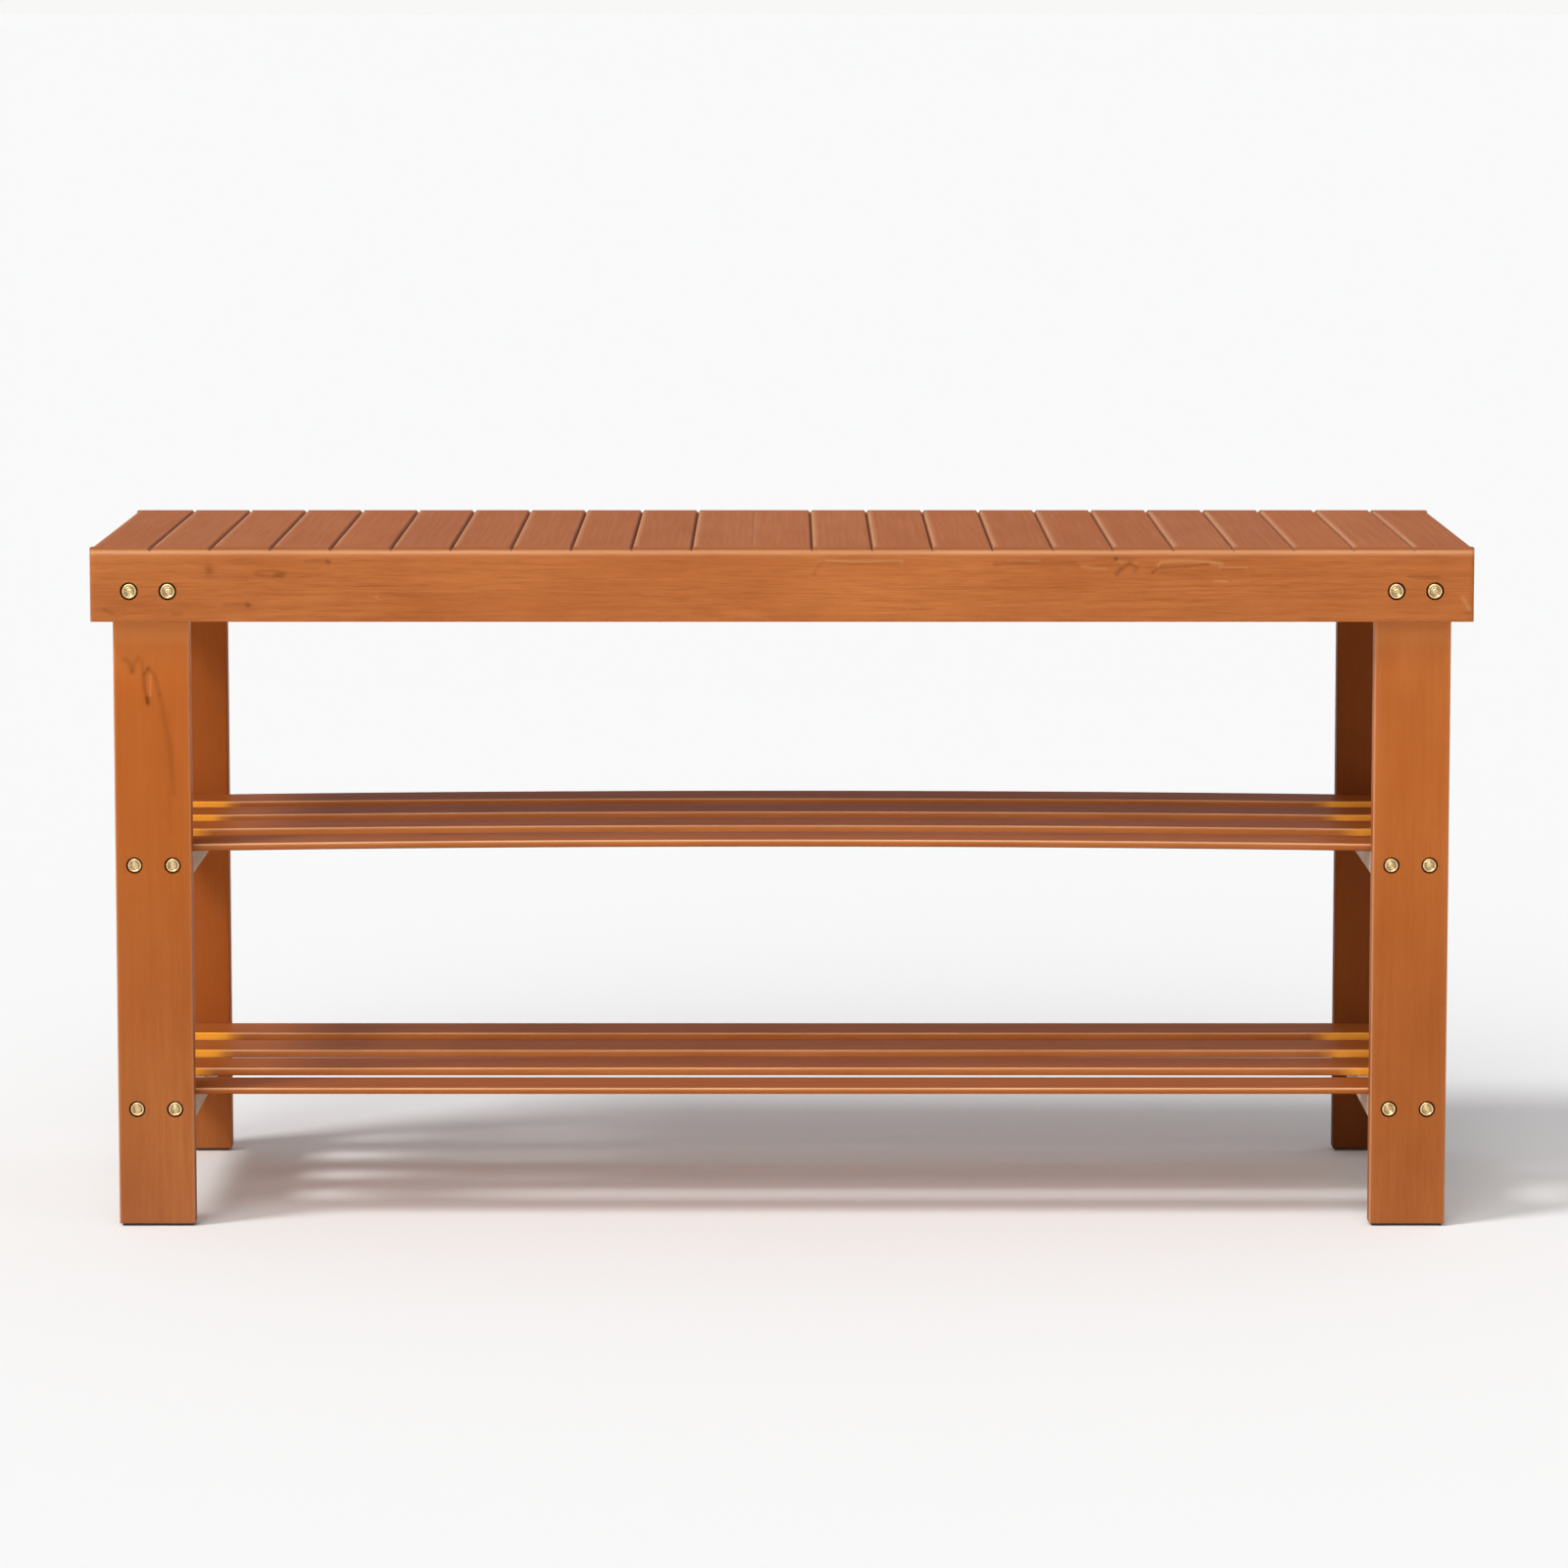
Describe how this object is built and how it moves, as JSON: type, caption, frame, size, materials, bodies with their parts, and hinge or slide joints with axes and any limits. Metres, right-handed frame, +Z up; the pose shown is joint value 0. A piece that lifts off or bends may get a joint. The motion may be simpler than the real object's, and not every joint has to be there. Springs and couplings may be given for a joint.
{
  "type": "entryway bench",
  "caption": "Entryway bench with a grooved slatted seat, four flat legs bolted inside the seat frame, and two slatted shoe shelves below.",
  "frame": {"origin": "on the floor, below the middle of the seat", "axes": "+X along the bench, +Y from the front towards the back, +Z up"},
  "size_m": [0.9, 0.3, 0.45],
  "materials": {
    "stained_wood": "warm brown stain under satin lacquer",
    "bare_wood": "planed and left unstained",
    "dowel_wood": "fluted beech, unfinished",
    "brass": "brass plated, satin",
    "zinc_steel": "zinc plated",
    "pad_plastic": "moulded, matt"
  },
  "bodies": {
    "root": {"foot_pads": "pad_plastic", "frame_dowels": "dowel_wood", "front_board": "stained_wood", "front_ledger": "bare_wood", "front_left_leg": "stained_wood", "front_right_leg": "stained_wood", "ledger_screws": "zinc_steel", "left_end_board": "stained_wood", "leg_inserts": "brass", "lower_barrel_nuts": "zinc_steel", "lower_left_rail": "bare_wood", "lower_right_rail": "bare_wood", "lower_shelf_bolts": "brass", "lower_shelf_slat_1": "stained_wood", "lower_shelf_slat_2": "stained_wood", "lower_shelf_slat_3": "stained_wood", "lower_shelf_slat_4": "stained_wood", "lower_slat_screws": "zinc_steel", "rear_board": "stained_wood", "rear_ledger": "bare_wood", "rear_left_leg": "stained_wood", "rear_right_leg": "stained_wood", "right_end_board": "stained_wood", "seat_bolts": "brass", "seat_slat_01": "stained_wood", "seat_slat_02": "stained_wood", "seat_slat_03": "stained_wood", "seat_slat_04": "stained_wood", "seat_slat_05": "stained_wood", "seat_slat_06": "stained_wood", "seat_slat_07": "stained_wood", "seat_slat_08": "stained_wood", "seat_slat_09": "stained_wood", "seat_slat_10": "stained_wood", "seat_slat_11": "stained_wood", "seat_slat_12": "stained_wood", "seat_slat_13": "stained_wood", "seat_slat_14": "stained_wood", "seat_slat_15": "stained_wood", "seat_slat_16": "stained_wood", "seat_slat_17": "stained_wood", "seat_slat_18": "stained_wood", "seat_slat_19": "stained_wood", "seat_slat_20": "stained_wood", "seat_slat_21": "stained_wood", "seat_slat_22": "stained_wood", "seat_slat_23": "stained_wood", "seat_slat_screws": "zinc_steel", "slat_dowels": "dowel_wood", "upper_barrel_nuts": "zinc_steel", "upper_left_rail": "bare_wood", "upper_right_rail": "bare_wood", "upper_shelf_bolts": "brass", "upper_shelf_slat_1": "stained_wood", "upper_shelf_slat_2": "stained_wood", "upper_shelf_slat_3": "stained_wood", "upper_shelf_slat_4": "stained_wood", "upper_slat_screws": "zinc_steel"}
  },
  "joints": []
}
